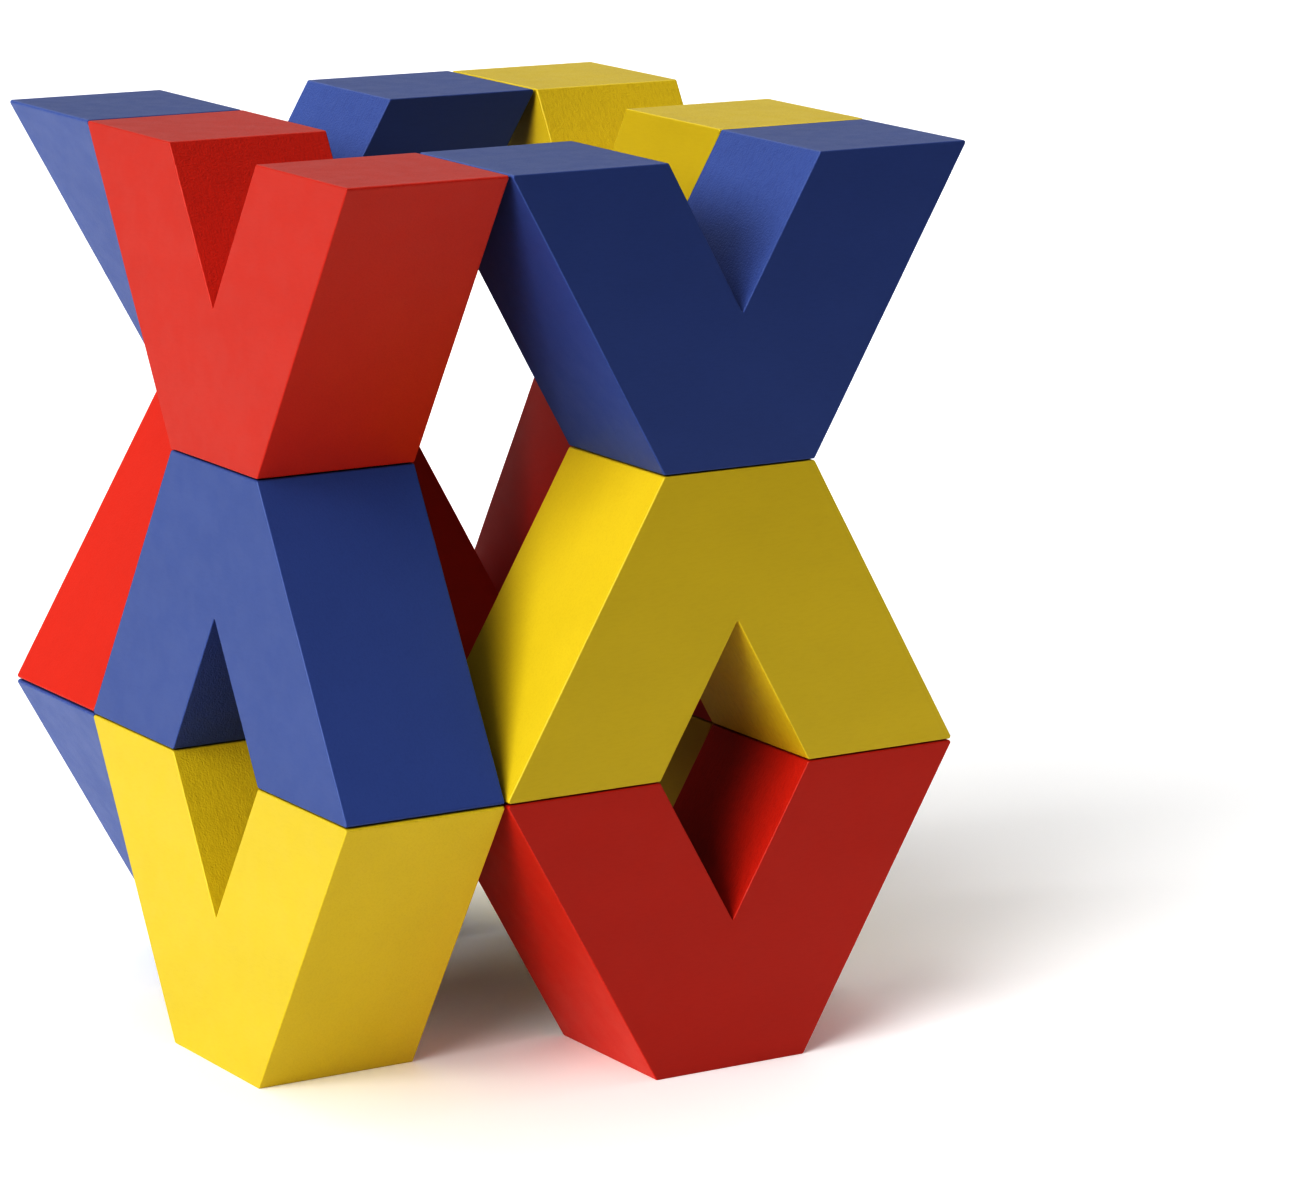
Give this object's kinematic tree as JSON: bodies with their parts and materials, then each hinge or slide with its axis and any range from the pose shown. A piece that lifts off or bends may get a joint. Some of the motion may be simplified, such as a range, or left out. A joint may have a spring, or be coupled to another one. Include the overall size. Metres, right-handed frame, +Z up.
{
  "type": "stacking block tower",
  "caption": "Tower of loose V-shaped wooden blocks, lacquered in primary colours, stacked upright and upturned by turns in columns set pinwheel-fashion round an open square well.",
  "frame": {"origin": "middle of the square well, on the plane of the four feet", "axes": "+Z up; the front column's V faces -Y, the left column's -X, the back column's +Y and the right column's +X"},
  "size_m": [0.1604, 0.1604, 0.2084],
  "materials": {
    "red_lacquer": "satin opaque lacquer over fine-grained wood",
    "yellow_lacquer": "satin opaque lacquer over fine-grained wood",
    "blue_lacquer": "satin opaque lacquer over fine-grained wood"
  },
  "bodies": {
    "bottom_front_block": {"bottom_front_red": "red_lacquer"},
    "middle_front_block": {"middle_front_yellow": "yellow_lacquer"},
    "top_front_block": {"top_front_blue": "blue_lacquer"},
    "bottom_left_block": {"bottom_left_yellow": "yellow_lacquer"},
    "middle_left_block": {"middle_left_blue": "blue_lacquer"},
    "top_left_block": {"top_left_red": "red_lacquer"},
    "bottom_back_block": {"bottom_back_blue": "blue_lacquer"},
    "middle_back_block": {"middle_back_red": "red_lacquer"},
    "top_back_block": {"top_back_blue": "blue_lacquer"},
    "bottom_right_block": {"bottom_right_yellow": "yellow_lacquer"},
    "middle_right_block": {"middle_right_red": "red_lacquer"},
    "top_right_block": {"top_right_yellow": "yellow_lacquer"}
  },
  "joints": [
    {"name": "left_column_pull", "type": "slide", "parent": "bottom_front_block", "child": "bottom_left_block", "axis": [-1, 0, 0], "range_m": [0, 0.06]},
    {"name": "back_column_pull", "type": "slide", "parent": "bottom_front_block", "child": "bottom_back_block", "axis": [0, 1, 0], "range_m": [0, 0.06]},
    {"name": "right_column_pull", "type": "slide", "parent": "bottom_front_block", "child": "bottom_right_block", "axis": [1, 0, 0], "range_m": [0, 0.06]},
    {"name": "front_middle_lift", "type": "slide", "parent": "bottom_front_block", "child": "middle_front_block", "axis": [0, 0, 1], "range_m": [0, 0.16]},
    {"name": "front_top_lift", "type": "slide", "parent": "middle_front_block", "child": "top_front_block", "axis": [0, 0, 1], "range_m": [0, 0.09]},
    {"name": "left_middle_lift", "type": "slide", "parent": "bottom_left_block", "child": "middle_left_block", "axis": [0, 0, 1], "range_m": [0, 0.16]},
    {"name": "left_top_lift", "type": "slide", "parent": "middle_left_block", "child": "top_left_block", "axis": [0, 0, 1], "range_m": [0, 0.09]},
    {"name": "back_middle_lift", "type": "slide", "parent": "bottom_back_block", "child": "middle_back_block", "axis": [0, 0, 1], "range_m": [0, 0.16]},
    {"name": "back_top_lift", "type": "slide", "parent": "middle_back_block", "child": "top_back_block", "axis": [0, 0, 1], "range_m": [0, 0.09]},
    {"name": "right_middle_lift", "type": "slide", "parent": "bottom_right_block", "child": "middle_right_block", "axis": [0, 0, 1], "range_m": [0, 0.16]},
    {"name": "right_top_lift", "type": "slide", "parent": "middle_right_block", "child": "top_right_block", "axis": [0, 0, 1], "range_m": [0, 0.09]}
  ]
}
